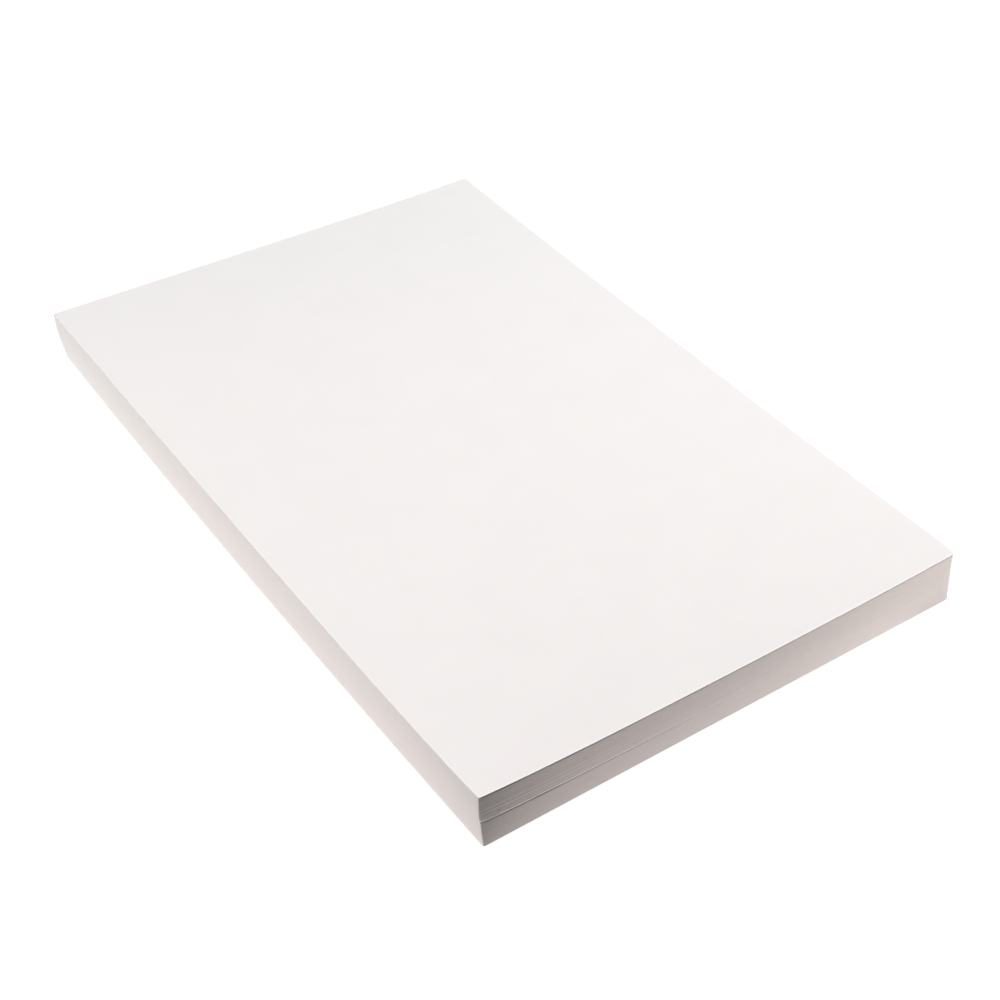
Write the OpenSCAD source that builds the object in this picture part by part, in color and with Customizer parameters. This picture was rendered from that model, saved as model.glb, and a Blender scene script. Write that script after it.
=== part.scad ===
// Ream of loose drawing paper, out of its wrapper: two lifts of sheets, the upper one laid on the
// lower and squared up by hand. The stack leans to the left, its corners are curled up, and the
// lowest sheets of the upper lift stand out at the near left corner. X runs across the sheets and
// Y along them, away from the front. The origin is the middle of the bottom sheet's underside.

/* [Sheet] */
// Short side of a sheet, along X
sheet_w = 304.8; // [200:0.1:620]
// Long side of a sheet, along Y
sheet_l = 457.2; // [280:0.1:920]
// Thickness of one sheet
sheet_t = 0.136; // [0.08:0.002:0.3]

/* [Lifts] */
// Number of sheets in the lower lift
lower_sheets = 105; // [20:1:250]
// Number of sheets in the upper lift, under the top sheet
upper_sheets = 144; // [20:1:250]
// Number of sheets in a bunch that slid as one when the lift was squared up
bunch_sheets = 5; // [5:1:20]
// Air between a lift and what lies on it
air_gap = 0.05; // [0.03:0.01:0.2]

/* [Curled corners] */
// Rise of the near left corner
near_left_rise = 4.7; // [0.5:0.1:8]
// Rise of the near right corner
near_right_rise = 2.8; // [0.5:0.1:8]
// Rise of the far right corner
far_right_rise = 2.1; // [0.5:0.1:8]
// Rise of the far left corner
far_left_rise = 0.1; // [0.1:0.1:8]
// Distance from a corner at which its rise has fallen to about a third
curl_reach = 54; // [30:1:100]

/* [Lean] */
// How far the top sheet lies to the left of the bottom one
lean_left = 4.8; // [0.5:0.1:15]
// How far the top sheet lies in front of the bottom one
lean_front = 0.9; // [0.1:0.1:10]

/* [Left side and near right corner] */
// How far the bottom sheet's left side bows out halfway along
bow_low = 2.4; // [0.1:0.1:5]
// How far the top sheet's left side bows out halfway along
bow_high = 0.6; // [0.1:0.1:5]
// How far the near right corner is knocked in at the top
knock_in = 2; // [0.1:0.1:5]
// Distance from that corner at which the knock has fallen to about a third
knock_reach = 10; // [5:1:30]

/* [Edges] */
// Most that a bunch stands out of line with the stack
jog = 0.12; // [0.05:0.01:0.4]
// How far the upper lift's lower sheets stand out at the near left corner
seam_out = 0.6; // [0.1:0.05:3]
// Height above the seam over which they draw back into line
seam_height = 7; // [2:0.5:15]
// How much further its lowest bunches stand out
ledge_out = 0.8; // [0.1:0.05:1.5]
// Number of those bunches
ledge_bunches = 2; // [1:1:5]
// How far the top sheet overhangs the front
top_overhang = 0.2; // [0.15:0.05:2]

/* [Hidden] */

// Colours of the cut edges and of the top sheet
edge_colour = [0.86, 0.84, 0.83];
face_colour = [0.97, 0.96, 0.95];

// Places of the lifts and the top sheet in a flat stack
lower_height = lower_sheets * sheet_t;
upper_base = lower_height + air_gap;
top_base = upper_base + upper_sheets * sheet_t + air_gap;
stack_height = top_base + sheet_t;
ledge_height = ledge_bunches * bunch_sheets * sheet_t;

// Corners of a sheet in order from the near left one, and how far each is curled up
corners = [for (c = [[-1, -1], [1, -1], [1, 1], [-1, 1]]) [c.x * sheet_w, c.y * sheet_l] / 2];
rises = [near_left_rise, near_right_rise, far_right_rise, far_left_rise];

// Steps of the surface across and along a sheet, and the points of its rim, counted round from
// the near left corner
across = 10;
along = 12;
rim = concat(
    [for (i = [0:across - 1]) [i, 0]],
    [for (j = [0:along - 1]) [across, j]],
    [for (i = [across:-1:1]) [i, along]],
    [for (j = [along:-1:1]) [0, j]]
);
rim_size = len(rim);
inside = [for (j = [1:along - 1], i = [1:across - 1]) [i, j]];

// Turn from one bunch to the next that keeps their slides from repeating, the turn between their
// slides along X and Y, and the least share of the jog that any bunch takes
golden_angle = 137.5;
cross_angle = 60;
least_jog = 0.4;

// How steeply the knock dies away down the corner
knock_power = 1.5;

// Share of its full turn that a quarter sine wave has made at height h
function turned(h) = sin(90 * h / stack_height);

// Slide of the sheets at height h: most near the table, and upright near the top
function lean(h) = -[lean_left, lean_front] * turned(h);

// How far the curled corners have opened at height h, from 0 on the table to 1 at the seam
function opened(h) = min(1, h / lower_height);

// Rise of a fully curled sheet at place p, measured from the sheet's middle
function curl(p) = rises * [for (c = corners) exp(-norm(p - c) / curl_reach)];

// How far the left side bows out at height h, at share y of the way along it: a parabola
function bowed(h, y) = (bow_low + (bow_high - bow_low) * turned(h)) * 4 * y * (1 - y);

// How far a point at height h and shares s of the sides is knocked in by the near right corner
function knocked(h, s) = let (gone = norm([(1 - s.x) * sheet_w, s.y * sheet_l]))
    knock_in * pow(h / stack_height, knock_power) * exp(-gone / knock_reach);

// How far a sheet at height h stands out at its near left corner
function stand_out(h) = let (above = h - upper_base, ledge = above < ledge_height ? ledge_out : 0)
    above < 0 ? 0 : ledge + seam_out * pow(max(0, 1 - above / seam_height), 2);

// Slide of bunch k against its neighbours: in and out by turns, and never twice the same
function jogged(k) = let (side = k % 2 == 0 ? 1 : -1, free_jog = 1 - least_jog)
    jog * side * [for (start = [0, cross_angle]) least_jog + free_jog * abs(sin(golden_angle * k + start))];

// Share of the way along a side of point n out of count, with the points closer near the corners
function eased(n, count) = (1 - cos(180 * n / count)) / 2;

// Place of grid point g on a sheet that has slid by slide, with its near left corner out by out,
// at the height h that it would have in a flat stack
function place(g, h, slide, out) = let (
    s = [eased(g.x, across), eased(g.y, along)],
    shaped = [bowed(h, s.y) * (1 - s.x) + knocked(h, s), out * (1 - s.x) * (1 - s.y)],
    p = [(s.x - 0.5) * sheet_w, (s.y - 0.5) * sheet_l] - shaped + slide
) [p.x, p.y, h + opened(h) * curl(p - lean(h))];

// Number of grid point i, j of a face whose rim starts at point first, and whose inside at inner
function number(i, j, first, inner) =
    j == 0 ? first + i :
    i == across ? first + across + j :
    j == along ? first + 2 * across + along - i :
    i == 0 ? first + 2 * across + 2 * along - j :
    inner + (j - 1) * (across - 1) + i - 1;

// Triangles of a whole face, seen clockwise from above
function face(first, inner) = [for (i = [0:across - 1], j = [0:along - 1]) let (
    a = number(i, j, first, inner),
    b = number(i + 1, j, first, inner),
    c = number(i + 1, j + 1, first, inner),
    d = number(i, j + 1, first, inner)
) each [[a, c, b], [a, d, c]]];

// Triangles of the band between a rim and the next one above it
function band(first) = [for (n = [0:rim_size - 1]) let (
    a = first + n,
    b = first + (n + 1) % rim_size
) each [[a, b + rim_size, b], [a, a + rim_size, b + rim_size]]];

// Pile of sheets in bunches, each a square-edged slab with its own slide, as one closed solid. A
// bunch has a rim below and a rim above, and a band joins each rim to the next.
module pile(base, sheets, bunches, shift = [0, 0]) {
    step = sheets * sheet_t / bunches;
    slides = [for (k = [0:bunches - 1]) lean(base + k * step) + shift + (bunches > 1 ? jogged(k) : [0, 0])];
    outs = [for (k = [0:bunches - 1]) stand_out(base + k * step)];
    last = bunches - 1;
    top_rim = (2 * bunches - 1) * rim_size;
    rims = [for (k = [0:last], e = [0, 1], g = rim) place(g, base + (k + e) * step, slides[k], outs[k])];
    underside = [for (g = inside) place(g, base, slides[0], outs[0])];
    topside = [for (g = inside) place(g, base + bunches * step, slides[last], outs[last])];
    under_faces = [for (t = face(0, len(rims))) [t[0], t[2], t[1]]];
    top_faces = face(top_rim, len(rims) + len(inside));
    bands = [for (first = [0:rim_size:top_rim - rim_size]) each band(first)];
    polyhedron(concat(rims, underside, topside), concat(under_faces, bands, top_faces), convexity = 4);
}

module lower_lift() {
    color(edge_colour) pile(0, lower_sheets, round(lower_sheets / bunch_sheets));
}

module upper_lift() {
    color(edge_colour) pile(upper_base, upper_sheets, round(upper_sheets / bunch_sheets));
}

module top_sheet() {
    color(face_colour) pile(top_base, 1, 1, [0, -top_overhang]);
}

lower_lift();
upper_lift();
top_sheet();
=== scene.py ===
import math

import bpy
import numpy as np
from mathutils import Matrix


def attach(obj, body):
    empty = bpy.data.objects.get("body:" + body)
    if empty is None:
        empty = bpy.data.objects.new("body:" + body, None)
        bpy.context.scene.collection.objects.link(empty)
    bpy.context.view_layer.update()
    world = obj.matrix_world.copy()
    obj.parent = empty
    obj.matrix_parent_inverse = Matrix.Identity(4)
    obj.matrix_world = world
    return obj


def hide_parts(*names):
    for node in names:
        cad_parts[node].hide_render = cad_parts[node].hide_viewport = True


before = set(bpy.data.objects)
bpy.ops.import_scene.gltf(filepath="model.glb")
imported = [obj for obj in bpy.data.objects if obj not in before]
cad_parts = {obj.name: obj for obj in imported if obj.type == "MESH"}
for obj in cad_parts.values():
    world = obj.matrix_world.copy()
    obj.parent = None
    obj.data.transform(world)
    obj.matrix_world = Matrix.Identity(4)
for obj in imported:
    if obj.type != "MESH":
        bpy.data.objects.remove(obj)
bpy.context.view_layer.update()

# Camera: it looks down on the stack from in front of its near left corner, a little over 600 mm
# above the table, through a short telephoto lens.
camera_place = (-0.45328, -0.62629, 0.63434)
camera_turn = (49.5581, -1.4560, -34.3231)
camera_data = bpy.data.cameras.new("camera")
camera_data.lens = 61.752
camera_data.sensor_width = 36
camera_data.shift_x = 0.0342
camera = bpy.data.objects.new("camera", camera_data)
camera.location = camera_place
camera.rotation_euler = [math.radians(angle) for angle in camera_turn]
bpy.context.scene.collection.objects.link(camera)
bpy.context.scene.camera = camera

# Floor: a light table burnt out to plain white. Its window reaches 50 mm past the stack in front,
# behind and on the left, and shines on the cut edges from below. The rest of it glows faintly.
table_side = 12.0
window_middle = (-0.040, 0.0)
window_half = (0.170, 0.2800)
window_blur = 0.030
window_light = 0.563
window_colour = (1.0, 0.965, 0.950, 1)
table_glow = 0.124
table_albedo = 0.30
seen_albedo = 0.10
seen_glow = 0.955
bpy.ops.mesh.primitive_plane_add(size=table_side)
floor = bpy.context.object
floor.name = "floor"
floor_material = bpy.data.materials.new("light_table")
floor_material.use_nodes = True
nodes = floor_material.node_tree.nodes
links = floor_material.node_tree.links
nodes.clear()
floor_out = nodes.new("ShaderNodeOutputMaterial")
floor_mix = nodes.new("ShaderNodeMixShader")
floor_path = nodes.new("ShaderNodeLightPath")
links.new(floor_mix.outputs[0], floor_out.inputs["Surface"])
links.new(floor_path.outputs["Is Camera Ray"], floor_mix.inputs["Fac"])
floor_place = nodes.new("ShaderNodeTexCoord")
from_middle = nodes.new("ShaderNodeVectorMath")
from_middle.operation = "SUBTRACT"
from_middle.inputs[1].default_value = (*window_middle, 0)
links.new(floor_place.outputs["Object"], from_middle.inputs[0])
either_way = nodes.new("ShaderNodeVectorMath")
either_way.operation = "ABSOLUTE"
links.new(from_middle.outputs[0], either_way.inputs[0])
floor_parts = nodes.new("ShaderNodeSeparateXYZ")
links.new(either_way.outputs[0], floor_parts.inputs[0])
window = nodes.new("ShaderNodeMath")
window.operation = "MULTIPLY"
for part, axis, half in zip(window.inputs, "XY", window_half):
    within = nodes.new("ShaderNodeMapRange")
    within.interpolation_type = "SMOOTHSTEP"
    within.inputs[1].default_value = half + window_blur
    within.inputs[2].default_value = half - window_blur
    links.new(floor_parts.outputs[axis], within.inputs["Value"])
    links.new(within.outputs[0], part)
window_power = nodes.new("ShaderNodeMath")
window_power.operation = "MULTIPLY_ADD"
window_power.inputs[1].default_value = window_light
window_power.inputs[2].default_value = table_glow
links.new(window.outputs[0], window_power.inputs[0])
for socket, albedo, glow in ((1, table_albedo, window_power), (2, seen_albedo, None)):
    matt = nodes.new("ShaderNodeBsdfDiffuse")
    matt.inputs["Color"].default_value = (albedo, albedo, albedo, 1)
    shine = nodes.new("ShaderNodeEmission")
    shine.inputs["Strength"].default_value = seen_glow
    if glow:
        shine.inputs["Color"].default_value = window_colour
        links.new(glow.outputs[0], shine.inputs["Strength"])
    both = nodes.new("ShaderNodeAddShader")
    links.new(matt.outputs[0], both.inputs[0])
    links.new(shine.outputs[0], both.inputs[1])
    links.new(both.outputs[0], floor_mix.inputs[socket])
floor.data.materials.append(floor_material)

# Light: a plain soft studio. Two large panels stand on either side, weaker ones in front and low
# behind on the left, and a low pale card lights the right end of the front. The room beyond the
# table is white, but throws no light.
room_glow = 0.95
stack_middle = (0.0, 0.0, 0.02)
panel_size = (0.7, 0.5)
card_aim = (0.12, -0.23, 0.018)
card_size = (0.3, 0.07)
bpy.context.scene.view_settings.view_transform = "Standard"
world = bpy.data.worlds.new("studio")
world.use_nodes = True
world_light = world.node_tree.nodes["Background"]
world_light.inputs["Strength"].default_value = room_glow
world_path = world.node_tree.nodes.new("ShaderNodeLightPath")
world.node_tree.links.new(world_path.outputs["Is Camera Ray"], world_light.inputs["Color"])
bpy.context.scene.world = world


def panel(name, place, aim, size, power, colour):
    """Adds a soft light panel of size metres and power watts at place, facing the point aim."""
    light = bpy.data.lights.new(name, "AREA")
    light.shape = "RECTANGLE"
    light.size, light.size_y = size
    light.energy = power
    light.color = colour
    lamp = bpy.data.objects.new(name, light)
    lamp.location = place
    towards = np.subtract(aim, place)
    yaw = math.atan2(towards[1], towards[0]) - math.pi / 2
    tilt = math.pi / 2 + math.atan2(towards[2], math.hypot(towards[0], towards[1]))
    lamp.rotation_euler = (tilt, 0, yaw)
    bpy.context.scene.collection.objects.link(lamp)


panel("right_key", (0.610, 0.0, 1.148), stack_middle, panel_size, 12.41, (0.980, 0.992, 0.999))
panel("left_key", (-1.065, 0.0, 0.746), stack_middle, panel_size, 8.72, (1.0, 0.910, 0.915))
panel("front_fill", (0.0, -0.610, 1.148), stack_middle, panel_size, 1.73, (1.0, 0.809, 0.757))
panel("low_far_left", (-0.899, 0.899, 0.270), stack_middle, panel_size, 4.15, (0.700, 1.0, 0.950))
panel("low_card", (0.38, -0.40, 0.04), card_aim, card_size, 0.93, (1.0, 0.968, 0.935))

# Lower lift: 105 loose sheets of drawing paper, cut square in one pile and put down as one. Towards
# the curled corners its sheets fan apart, which carries the upper lift up with them. Its last two or
# three were pushed back from the front near the left corner, into the crevice at the seam, painted dark as
# shade.
sheet_size = np.array([0.3048, 0.4572])
sheet_t = 0.000136
lower_sheets = 105
upper_sheets = 144
air_gap = 0.00005
lower_height = lower_sheets * sheet_t
upper_base = lower_height + air_gap
top_base = upper_base + upper_sheets * sheet_t + air_gap
stack_height = top_base + sheet_t
lean_most = np.array([0.0048, 0.0009])
corners = np.array([[-1, -1], [1, -1], [1, 1], [-1, 1]]) * sheet_size / 2
corner_rises = np.array([0.0047, 0.0028, 0.0021, 0.0001])
curl_reach = 0.054
bow_low, bow_high = 0.0024, 0.0006
knock = 0.0020
knock_reach = 0.010
knock_power = 1.5
blunt = 0.0002
blunt_reach = 0.0008
steps_across, steps_along, crowding = 28, 36, 2.8
crease_angle = 0.5


def lean(h):
    """Slide of the sheets at height h: a quarter sine wave, none at the table, most at the top."""
    return -lean_most * np.sin(np.pi / 2 * np.asarray(h) / stack_height)[..., None]


def curl(p):
    """Rise of a fully curled sheet at place p: each corner's rise dies away with distance."""
    gone = np.linalg.norm(p[..., None, :] - corners, axis=-1)
    return (np.exp(-gone / curl_reach) * corner_rises).sum(-1)


def opened(h):
    """How far the corners have fanned open at height h: in step with the height, up to the seam."""
    return np.minimum(1, np.asarray(h) / lower_height)


def place(shares, h, slide, out):
    """Points of a sheet that would lie at height h in a flat stack, after it has slid by slide.

    Its near left corner stands out by out. Low down, the left side bows out halfway along. High up,
    the near right corner is knocked in. The tip of each corner is blunted by a hair. The curl of the
    corners, as far as they have opened, is added to the height."""
    x, y = shares[..., 0], shares[..., 1]
    high = np.asarray(h) / stack_height
    p = (shares - 0.5) * sheet_size + slide
    p[..., 1] -= out * (1 - x) ** 2 * (1 - y)
    bow = bow_low + (bow_high - bow_low) * np.sin(np.pi / 2 * high)
    p[..., 0] -= bow * (1 - x) * 4 * y * (1 - y)
    from_right = np.linalg.norm((shares - [1, 0]) * sheet_size, axis=-1)
    p[..., 0] -= knock * high ** knock_power * np.exp(-from_right / knock_reach)
    from_side = np.minimum(shares, 1 - shares) * sheet_size
    p -= np.sign(shares - 0.5) * (blunt * np.exp(-from_side.sum(-1) / blunt_reach))[..., None]
    z = h + opened(h) * curl(p - lean(h))
    return np.concatenate([p, z[..., None]], -1)


def stations(count, crowding):
    """Shares of a side from 0 to 1 by a hyperbolic tangent, so that they crowd towards the corners."""
    return 0.5 + 0.5 * np.tanh(crowding * np.linspace(-1, 1, count + 1)) / np.tanh(crowding)


def sheet_grid(x, y):
    """Shares for a grid of points on a sheet, and its cells: the rim is numbered first, counted round
    from the near left corner, and then the inside."""
    across, along = len(x) - 1, len(y) - 1
    rim = np.concatenate([
        np.stack([np.arange(across), np.zeros(across, int)], 1),
        np.stack([np.full(along, across), np.arange(along)], 1),
        np.stack([np.arange(across, 0, -1), np.full(across, along)], 1),
        np.stack([np.zeros(along, int), np.arange(along, 0, -1)], 1),
    ])
    number = np.full((across + 1, along + 1), -1)
    number[rim[:, 0], rim[:, 1]] = np.arange(len(rim))
    inner = np.argwhere(number < 0)
    number[inner[:, 0], inner[:, 1]] = len(rim) + np.arange(len(inner))
    order = np.concatenate([rim, inner])
    shares = np.stack([x[order[:, 0]], y[order[:, 1]]], 1)
    cells = np.stack([number[:-1, :-1], number[1:, :-1], number[1:, 1:], number[:-1, 1:]], -1)
    return shares, cells.reshape(-1, 4), len(rim)


def solid(name, rims, underside, topside, cells, cut_edge, traits):
    """Closed skin of a pile: a band of quads between each rim and the next, and a grid at each end.

    rims holds the rim points level by level, and underside and topside the grids' inner points.
    cut_edge is 1 for each band that is the cut edge of a sheet. traits holds values of the points,
    by name. All are kept as attributes, so that the finish can follow the sheets."""
    levels, size = rims.shape[:2]
    points = np.concatenate([rims.reshape(-1, 3), underside, topside])
    ring = np.arange(size)
    lower = (np.arange(levels - 1) * size)[:, None] + ring
    turned = (np.arange(levels - 1) * size)[:, None] + np.roll(ring, -1)
    bands = np.stack([lower, turned, turned + size, lower + size], -1).reshape(-1, 4)
    inner = levels * size - size
    under = np.where(cells < size, cells, cells + inner)[:, ::-1]
    top = np.where(cells < size, cells + inner, cells + inner + len(underside))
    faces = np.concatenate([bands, under, top])
    mesh = bpy.data.meshes.new(name)
    mesh.vertices.add(len(points))
    mesh.vertices.foreach_set("co", points.astype(np.float32).ravel())
    mesh.loops.add(faces.size)
    mesh.loops.foreach_set("vertex_index", faces.astype(np.int32).ravel())
    mesh.polygons.add(len(faces))
    mesh.polygons.foreach_set("loop_start", np.arange(0, faces.size, 4, dtype=np.int32))
    mesh.update(calc_edges=True)
    mesh.set_sharp_from_angle(angle=crease_angle)
    on_cut = np.concatenate([np.repeat(cut_edge, size), np.zeros(len(under) + len(top))])
    mesh.attributes.new("cut_edge", "FLOAT", "FACE").data.foreach_set("value", on_cut.astype(np.float32))
    for trait, values in traits.items():
        mesh.attributes.new(trait, "FLOAT", "POINT").data.foreach_set("value", values.astype(np.float32))
    piece = bpy.data.objects.new(name, mesh)
    bpy.context.scene.collection.objects.link(piece)
    return piece


# Grid of a lift's sheets, with each point's share in what happens at the front, off its two corners,
# along the seam and in the painted highlight over the seam. Reaches are in millimetres.
front_reach = 6
left_tip, right_tip = 1, 2
seam_full, seam_fade = 25, 125
seam_highlight_start, seam_highlight_reach = 30, 150
pile_shares, pile_cells, pile_rim = sheet_grid(
    stations(steps_across, crowding), stations(steps_along, crowding))
rim_shares = pile_shares[:pile_rim]
rim_way = np.sign(rim_shares - 0.5) * np.isclose(np.abs(rim_shares - 0.5), 0.5)
mm_across, mm_along = (pile_shares * sheet_size * 1000).T
mm_from_right = sheet_size[0] * 1000 - mm_across
rim_from_near_left = np.hypot(mm_across, mm_along)[:pile_rim]
on_front = np.exp(-mm_along / front_reach)
off_corners = (1 - np.exp(-mm_across / left_tip)) * (1 - np.exp(-mm_from_right / right_tip))
seam_share = np.clip(1 - (mm_across - seam_full) / seam_fade, 0, 1) * on_front
seam_highlight_share = np.exp(-(mm_across / seam_highlight_reach) ** 2) * (1 - np.exp(-mm_across / seam_highlight_start))

# Slits and grooves between the sheets, and the painted shade, painted highlight and lines on their cut
# edges.
closed_gap = 0.000006
groove_depth = 0.0003
groove_flare = 2
crevice_depth = 0.0020
crevice_shade_power = 1.5
loose_reach = 30
side_loose_shade = 0.22
loose_shade_low, loose_shade_high = 0.85, 1.2
arris_highlight = 0.5
least_line = 0.05


def per_level(of_sheets):
    """Values of the sheets given to their levels: three levels a sheet, and two for the last one."""
    return np.concatenate([np.repeat(of_sheets[:-1], 3, 0), of_sheets[-1:], of_sheets[-1:]])


def pile(name, base, sheets, slides, outs, pulls, gaps, proud_highlight, lined):
    """Sheets laid one on another, each a square-edged slab with its own slide.

    pulls says how far each sheet is pulled forward at each point, and gaps how high the slit above
    it is at each rim point. In each slit the skin goes in to the bottom of a narrow groove.
    proud_highlight says how bright the painted highlight is on the edge of each sheet where it
    stands out at the seam, and lined how much the tones of the loose sheets differ."""
    h = base + np.arange(sheets)[:, None] * sheet_t
    rims = np.broadcast_to(rim_shares, (sheets, pile_rim, 2))
    bottom = place(rims, h, slides[:, None], outs[:, None])
    bottom[..., 1] -= pulls[:, :pile_rim]
    top = place(rims, h + sheet_t, slides[:, None], outs[:, None])
    top[..., :2] = bottom[..., :2]
    top[..., 2] -= gaps
    groove = (top[:-1] + bottom[1:]) / 2
    inner = np.minimum(top[:-1, :, :2] * rim_way, bottom[1:, :, :2] * rim_way) * rim_way
    depth = groove_depth + groove_flare * gaps[:-1, :, None]
    groove[..., :2] = np.where(rim_way != 0, inner - rim_way * depth, groove[..., :2])
    levels = np.stack([bottom[:-1], top[:-1], groove], 1).reshape(-1, pile_rim, 3)
    levels = np.concatenate([levels, bottom[-1:], top[-1:]])
    cut_edge = np.arange(len(levels) - 1) % 3 == 0
    inside = pile_shares[pile_rim:]
    underside = place(inside, np.full(len(inside), base), slides[0], outs[0])
    topside = place(inside, np.full(len(inside), base + sheets * sheet_t), slides[-1], outs[-1])
    underside[:, 1] -= pulls[0, pile_rim:]
    topside[:, 1] -= pulls[-1, pile_rim:]
    at_front = rim_shares[:, 1] == rim_shares[:, 1].min()
    # Painted shade: the front cut edges of sheets set in from the front get a mask that paints them dark.
    set_in = np.clip(-pulls[:, :pile_rim] / crevice_depth, 0, 1) ** crevice_shade_power * at_front
    deeper = np.maximum(set_in[:-1], set_in[1:])
    crevice_shade_mask = np.stack([set_in[:-1], deeper, deeper], 1).reshape(-1, pile_rim)
    crevice_shade_mask = np.concatenate([crevice_shade_mask, set_in[-1:], set_in[-1:]])
    # Painted shade: cut edges are darkened towards the near left corner, most at the front and towards the
    # top of each lift.
    loose = np.where(at_front, 1, side_loose_shade) * np.exp(-rim_from_near_left / loose_reach)
    loose_shade_levels = np.linspace(loose_shade_low, loose_shade_high, sheets)[:, None] * loose
    # Painted highlight: a pale line down the near left corner and along the edges of the sheets that stand
    # out over the seam.
    highlight = np.broadcast_to(arris_highlight * (rim_from_near_left == 0), (sheets, pile_rim))
    highlight = np.maximum(highlight, proud_highlight[:, None] * (on_front * seam_highlight_share)[:pile_rim])
    ends = np.zeros(2 * len(inside))
    traits = {
        "flat_height": np.concatenate([np.repeat(per_level(h[:, 0]) + sheet_t / 2, pile_rim), ends]),
        "loose_shade": np.concatenate([per_level(loose_shade_levels).ravel(), ends]),
        "crevice_shade_mask": np.concatenate([crevice_shade_mask.ravel(), ends]),
        "edge_highlight": np.concatenate([per_level(highlight).ravel(), ends]),
        "lines": np.concatenate([np.tile(least_line + lined * loose * at_front, len(levels)), ends]),
    }
    return solid(name, levels, underside, topside, pile_cells, cut_edge, traits)


def bunched(draw, sheets, least, most):
    """One random number from -1 to 1 for each sheet, the same for a bunch of least to most sheets."""
    return np.repeat(draw.uniform(-1, 1, sheets), draw.integers(least, most + 1, sheets))[:sheets]


def slid(draw, sheets):
    """Slides of sheets against their neighbours: whole bunches out of line, and each sheet a hair."""
    bunch = np.stack([bunched(draw, sheets, *slide_bunch), bunched(draw, sheets, *slide_bunch)], 1)
    return bunch_slide * bunch + sheet_slide * draw.uniform(-1, 1, (sheets, 2))


# The sheets of the lower lift: their slides, the slits between them, which open towards the near
# left corner by a share of a sheet's thickness, and how far the last ones were pushed back.
draw_seed = 12
slide_bunch = (3, 9)
bunch_slide = 0.000015
sheet_slide = 0.000010
slit_reach = 45
lower_slit, lower_slit_growth, lower_slit_spread = 0.10, 0.10, 0.6
least_pushed, most_pushed = 0.4, 2.4
lower_lined = 0.15
draw = np.random.default_rng(draw_seed)
lower_h = np.arange(lower_sheets) * sheet_t
lower_slides = lean(lower_h) + slid(draw, lower_sheets)
sheets_above = lower_sheets - 1 - np.arange(lower_sheets)
pushed_sheets = least_pushed + (most_pushed - least_pushed) * seam_share ** 3
pushed_back = crevice_depth * np.clip(pushed_sheets - sheets_above[:, None], 0, 1)
pushed_back = pushed_back * seam_share ** 2 * off_corners
lower_loose = lower_slit + lower_slit_growth * lower_h / stack_height
lower_loose = lower_loose * draw.uniform(1 - lower_slit_spread, 1 + lower_slit_spread, lower_sheets)
lower_gaps = closed_gap + sheet_t * lower_loose[:, None] * np.exp(-rim_from_near_left / slit_reach)
nothing = np.zeros(lower_sheets)
lower_pile = pile(
    "lower_lift_sheets", 0.0, lower_sheets, lower_slides, nothing, -pushed_back, lower_gaps,
    nothing, lower_lined)


def node_group(name, takes, gives):
    """New shader node group with float or vector sockets, and its input and output nodes."""
    tree = bpy.data.node_groups.new(name, "ShaderNodeTree")
    for socket, kind in takes.items():
        tree.interface.new_socket(socket, in_out="INPUT", socket_type=kind)
    for socket, kind in gives.items():
        tree.interface.new_socket(socket, in_out="OUTPUT", socket_type=kind)
    return tree, tree.nodes.new("NodeGroupInput"), tree.nodes.new("NodeGroupOutput")


def add(tree, kind, takes=None, **settings):
    """Adds a shader node with the settings. takes gives its inputs, by name or number: a value each,
    or the output that is linked to it."""
    node = tree.nodes.new("ShaderNode" + kind)
    for setting, value in settings.items():
        setattr(node, setting, value)
    for socket, value in (takes or {}).items():
        if isinstance(value, bpy.types.NodeSocket):
            tree.links.new(value, node.inputs[socket])
        else:
            node.inputs[socket].default_value = value
    return node


def ramp(tree, value, low, high, at_low=0, at_high=1, shape="SMOOTHSTEP"):
    """Output that goes from at_low to at_high while value goes from low to high."""
    takes = {"Value": value, 1: low, 2: high, 3: at_low, 4: at_high}
    return add(tree, "MapRange", takes, interpolation_type=shape).outputs[0]


def sum_of(tree, first, second, share=1.0):
    """Output of first times share, plus second."""
    return add(tree, "Math", {0: first, 1: share, 2: second}, operation="MULTIPLY_ADD").outputs[0]


# Tooth: the felt of the paper machine left soft hollows, half a millimetre apart, with single fibres
# lying over them.
fibre_share = 0.5
hollow_form = {"Scale": 1900, "Detail": 2, "Roughness": 0.6}
fibre_form = {"Scale": 1, "Detail": 1, "Distortion": 1.5}
fibre_stretch = (700, 2600, 1200)
tooth, tooth_in, tooth_out = node_group(
    "paper_tooth", {"Place": "NodeSocketVector"}, {"Height": "NodeSocketFloat"})
tooth_place = tooth_in.outputs["Place"]
hollows = add(tooth, "TexNoise", {"Vector": tooth_place, **hollow_form}).outputs[0]
fibre_place = add(tooth, "Mapping", {"Vector": tooth_place, "Scale": fibre_stretch}).outputs[0]
fibres = add(tooth, "TexNoise", {"Vector": fibre_place, **fibre_form}).outputs[0]
tooth.links.new(sum_of(tooth, fibres, hollows, fibre_share), tooth_out.inputs["Height"])

# Cloud: the pulp never settles quite evenly, so the tone of a sheet wanders by a hundredth over a
# few centimetres.
cloud_form = {"Scale": 38, "Detail": 3}
cloud_range = (0.3, 0.7)
cloud_tones = (0.988, 1.0)
cloud, cloud_in, cloud_out = node_group(
    "paper_cloud", {"Place": "NodeSocketVector"}, {"Tone": "NodeSocketFloat"})
settled = add(cloud, "TexNoise", {"Vector": cloud_in.outputs["Place"], **cloud_form}).outputs[0]
cloud.links.new(ramp(cloud, settled, *cloud_range, *cloud_tones), cloud_out.inputs["Tone"])

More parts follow.
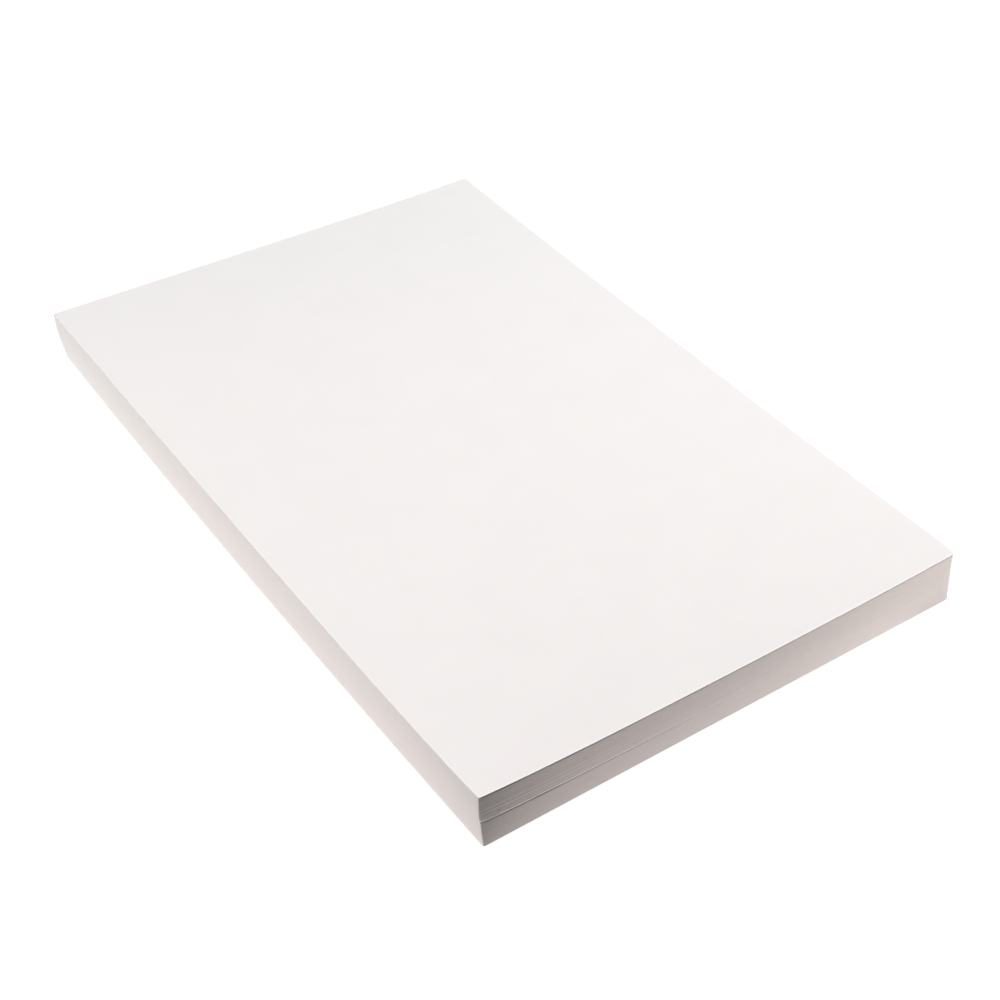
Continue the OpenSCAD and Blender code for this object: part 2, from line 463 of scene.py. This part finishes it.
# Cut lines: each sheet's edge is a shade of its own, about a dozen neighbours share another, and the
# guillotine left fine upright marks. The tone is 1 on average.
base_tone, bunch_tone, sheet_tone, mark_tone = 0.14, 1.5, 0.12, 0.1
bunch_form = {"Scale": 0.09, "Detail": 2}
mark_form = {"Scale": 1, "Detail": 2}
mark_stretch = (1400, 1400, 60)
cut, cut_in, cut_out = node_group(
    "cut_lines", {"Place": "NodeSocketVector", "Height": "NodeSocketFloat"}, {"Tone": "NodeSocketFloat"})
sheet_number = add(cut, "Math", {0: cut_in.outputs["Height"], 1: sheet_t}, operation="DIVIDE").outputs[0]
whole_number = add(cut, "Math", {0: sheet_number}, operation="FLOOR").outputs[0]
each_sheet = add(cut, "TexWhiteNoise", {"W": whole_number}, noise_dimensions="1D").outputs["Value"]
bunch = add(cut, "TexNoise", {"W": sheet_number, **bunch_form}, noise_dimensions="1D").outputs[0]
mark_place = add(cut, "Mapping", {"Vector": cut_in.outputs["Place"], "Scale": mark_stretch}).outputs[0]
marks = add(cut, "TexNoise", {"Vector": mark_place, **mark_form}).outputs[0]
tone_of_bunches = sum_of(cut, bunch, base_tone, bunch_tone)
tone_of_sheets = sum_of(cut, each_sheet, tone_of_bunches, sheet_tone)
cut.links.new(sum_of(cut, marks, tone_of_sheets, mark_tone), cut_out.inputs["Tone"])

# Dust: two grey specks, one on the cut edges near the near left corner and a fainter one on the top
# sheet. Each has a middle, a reach and a strength, and is solid out to a part of its reach.
speck_core = 0.4
specks = (
    ((-0.14493, -0.22942, 0.02201), 0.0009, 0.5),
    ((-0.10997, 0.00177, 0.03417), 0.0005, 0.15),
)
dust, dust_in, dust_out = node_group(
    "dust_specks", {"Place": "NodeSocketVector"}, {"Mask": "NodeSocketFloat"})
speck_masks = []
for middle, reach, strength in specks:
    takes = {0: dust_in.outputs["Place"], 1: middle}
    away = add(dust, "VectorMath", takes, operation="DISTANCE").outputs["Value"]
    speck_masks.append(ramp(dust, away, speck_core * reach, reach, strength, 0))
dust.links.new(sum_of(dust, *speck_masks), dust_out.inputs["Mask"])

# Drawing paper: matt and white. Its cut edge is greyer than its face, and painted darker still as
# shade towards the near left corner. Crevices are painted dark as shade, and some edges carry a painted
# highlight.
face_colour = (0.90, 0.89, 0.88, 1)
edge_colour = (0.81, 0.752, 0.738, 1)
loose_shade_colour = (0.435, 0.415, 0.41, 1)
crevice_shade_colour = (0.16, 0.15, 0.145, 1)
edge_highlight_colour = (0.975, 0.97, 0.965, 1)
dust_colour = (0.20, 0.19, 0.18, 1)
crevice_shade_starts = 0.1
tooth_relief = {"Strength": 0.35, "Distance": 0.00006}
tooth_range = (0.3, 1.2)
tooth_roughness = (0.88, 0.98)
paper_gloss = 0.2
paper = bpy.data.materials.new("drawing_paper")
paper.use_nodes = True
finish = paper.node_tree
paper_shader = finish.nodes["Principled BSDF"]
paper_place = add(finish, "TexCoord").outputs["Object"]
traits_seen = ("cut_edge", "flat_height", "loose_shade", "crevice_shade_mask", "edge_highlight", "lines")
cut_edge, flat_height, loose_shade, crevice_shade_mask, edge_highlight, lines = (
    add(finish, "Attribute", attribute_name=name).outputs["Fac"] for name in traits_seen)


def blend(amount, first, second, way="MIX"):
    """Output that mixes two colours of the paper, each a value or an output."""
    return add(finish, "Mix", {0: amount, 6: first, 7: second}, data_type="RGBA", blend_type=way).outputs[2]


cloud_tone = add(finish, "Group", {"Place": paper_place}, node_tree=cloud).outputs["Tone"]
cut_tone = add(finish, "Group", {"Place": paper_place, "Height": flat_height}, node_tree=cut).outputs["Tone"]
tooth_height = add(finish, "Group", {"Place": paper_place}, node_tree=tooth).outputs["Height"]
dust_here = add(finish, "Group", {"Place": paper_place}, node_tree=dust).outputs["Mask"]
# Painted shade: set-in cut edges blend towards a near-black colour, as shade in the crevices.
crevice_shade = ramp(finish, crevice_shade_mask, crevice_shade_starts, 1.0, 0, 1, "LINEAR")
face = blend(1.0, face_colour, cloud_tone, "MULTIPLY")
# Painted shade: the cut edge colour is darkened towards the near left corner.
edge = blend(lines, blend(loose_shade, edge_colour, loose_shade_colour), cut_tone, "MULTIPLY")
# Painted highlight on pale edges and painted shade in the crevices are mixed into the paper colour here.
sound = blend(crevice_shade, blend(edge_highlight, blend(cut_edge, face, edge), edge_highlight_colour), crevice_shade_colour)
relief = add(finish, "Bump", {"Height": tooth_height, **tooth_relief}).outputs[0]
roughness = ramp(finish, tooth_height, *tooth_range, *tooth_roughness)
finish.links.new(blend(dust_here, sound, dust_colour), paper_shader.inputs["Base Color"])
finish.links.new(relief, paper_shader.inputs["Normal"])
finish.links.new(roughness, paper_shader.inputs["Roughness"])
paper_shader.inputs["Specular IOR Level"].default_value = paper_gloss
lower_pile.data.materials.append(paper)
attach(lower_pile, "root")
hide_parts("lower_lift")

# Upper lift: 144 more sheets, laid on the lower lift and squared up by hand. At the front, near the
# left corner, its lowest seven were pushed back, the next eight stand out in a ledge over them, and
# the rest draw back into line over 7 mm in small steps. Its last few are set back at the front.
seam_out = 0.0002
seam_height = 0.007
hollow_sheets = 7
hollow_least = 0.37
ledge_out = 0.0002
ledge_sheets = 15
step_size = 0.00022
step_bunch = (2, 6)
step_least = 0.6
low_step_height = 0.005
unstepped_sheets = 12
step_reach = 22
slot_sheets_right, slot_sheets_more, slot_reach = 4.3, 3.5, 90
slot_taper = 0.4
upper_slit, upper_slit_growth, upper_slit_spread = 0.16, 0.22, 0.8
proud_highlight_most, proud_sheet, proud_spread = 1.3, 10, 3.5
upper_lined = 0.9
upper_number = np.arange(upper_sheets)
upper_h = upper_base + upper_number * sheet_t
over_seam = upper_h - upper_base
upper_slides = lean(upper_h) + slid(draw, upper_sheets)
upper_outs = seam_out * np.maximum(0, 1 - over_seam / seam_height) ** 2
hollow_here = hollow_sheets * (hollow_least + (1 - hollow_least) * seam_share ** 2)
in_hollow = np.clip(hollow_here - upper_number[:, None], 0, 1)
hollow = crevice_depth * in_hollow * seam_share ** 2 * off_corners
ledge = ledge_out * (1 - in_hollow) * (upper_number < ledge_sheets)[:, None] * seam_share
low_steps = np.exp(-over_seam / low_step_height)
steps = step_size * (bunched(draw, upper_sheets, *step_bunch) - 1) * (step_least + low_steps)
steps = steps * (upper_number >= ledge_sheets) * (upper_number < upper_sheets - unstepped_sheets)
terraces = steps[:, None] * np.exp(-mm_across / step_reach) * on_front
slot_sheets = slot_sheets_right + slot_sheets_more * np.exp(-((mm_across / slot_reach) ** 2))
slot_depth = crevice_depth * (1 - slot_taper * pile_shares[:, 0]) * on_front * off_corners
set_back = slot_depth * np.clip(slot_sheets - (upper_sheets - 1 - upper_number[:, None]), 0, 1)
upper_loose = upper_slit + upper_slit_growth * over_seam / stack_height
upper_loose = upper_loose * draw.uniform(1 - upper_slit_spread, 1 + upper_slit_spread, upper_sheets)
upper_gaps = closed_gap + sheet_t * upper_loose[:, None] * np.exp(-rim_from_near_left / slit_reach)
upper_pulls = ledge + terraces - hollow - set_back
upper_proud_highlight = proud_highlight_most * np.exp(-((upper_number - proud_sheet) / proud_spread) ** 2)
upper_pile = pile(
    "upper_lift_sheets", upper_base, upper_sheets, upper_slides, upper_outs, upper_pulls, upper_gaps,
    upper_proud_highlight, upper_lined)
upper_pile.data.materials.append(paper)
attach(upper_pile, "root")
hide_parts("upper_lift")

# Top sheet: a single sheet of the same paper, a tenth of a millimetre in front of those below it.
# A painted highlight runs along its front edge, over the slot below it, and a weaker one along its sides.
top_overhang = 0.0001
top_across, top_along, top_crowding = 90, 132, 2.2
front_highlight_reach = 0.0008
side_highlight_reach = 0.0006
side_highlight = 0.2


def highlighted(distance, reach):
    """Painted highlight at a distance from an edge: full for half a reach, and gone after one and a half."""
    return np.clip(1.5 - distance / reach, 0, 1)


top_shares, top_cells, top_rim = sheet_grid(
    stations(top_across, top_crowding), stations(top_along, top_crowding))
top_slide = lean(np.array(top_base)) - [0, top_overhang]
top_under = place(top_shares, np.full(len(top_shares), top_base), top_slide, 0)
top_upper = top_under + [0, 0, sheet_t]
top_from_side = (np.minimum(top_shares, 1 - top_shares) * sheet_size).min(1)
top_from_front = top_shares[:, 1] * sheet_size[1]
# Painted highlight: a pale band along the top sheet's front edge, and a weaker one along its sides.
top_highlight = np.maximum(
    highlighted(top_from_front, front_highlight_reach), side_highlight * highlighted(top_from_side, side_highlight_reach))
top_rims = np.stack([top_under[:top_rim], top_upper[:top_rim]])
flush = np.zeros(2 * len(top_shares))
top_traits = {
    "flat_height": flush + top_base + sheet_t / 2,
    "loose_shade": flush,
    "lines": flush,
    "crevice_shade_mask": flush,
    "edge_highlight": np.concatenate([top_highlight[:top_rim]] * 2 + [top_highlight[top_rim:]] * 2),
}
top_sheet = solid(
    "top_sheet_face", top_rims, top_under[top_rim:], top_upper[top_rim:], top_cells, np.ones(1), top_traits)
top_sheet.data.materials.append(paper)
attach(top_sheet, "root")
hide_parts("top_sheet")
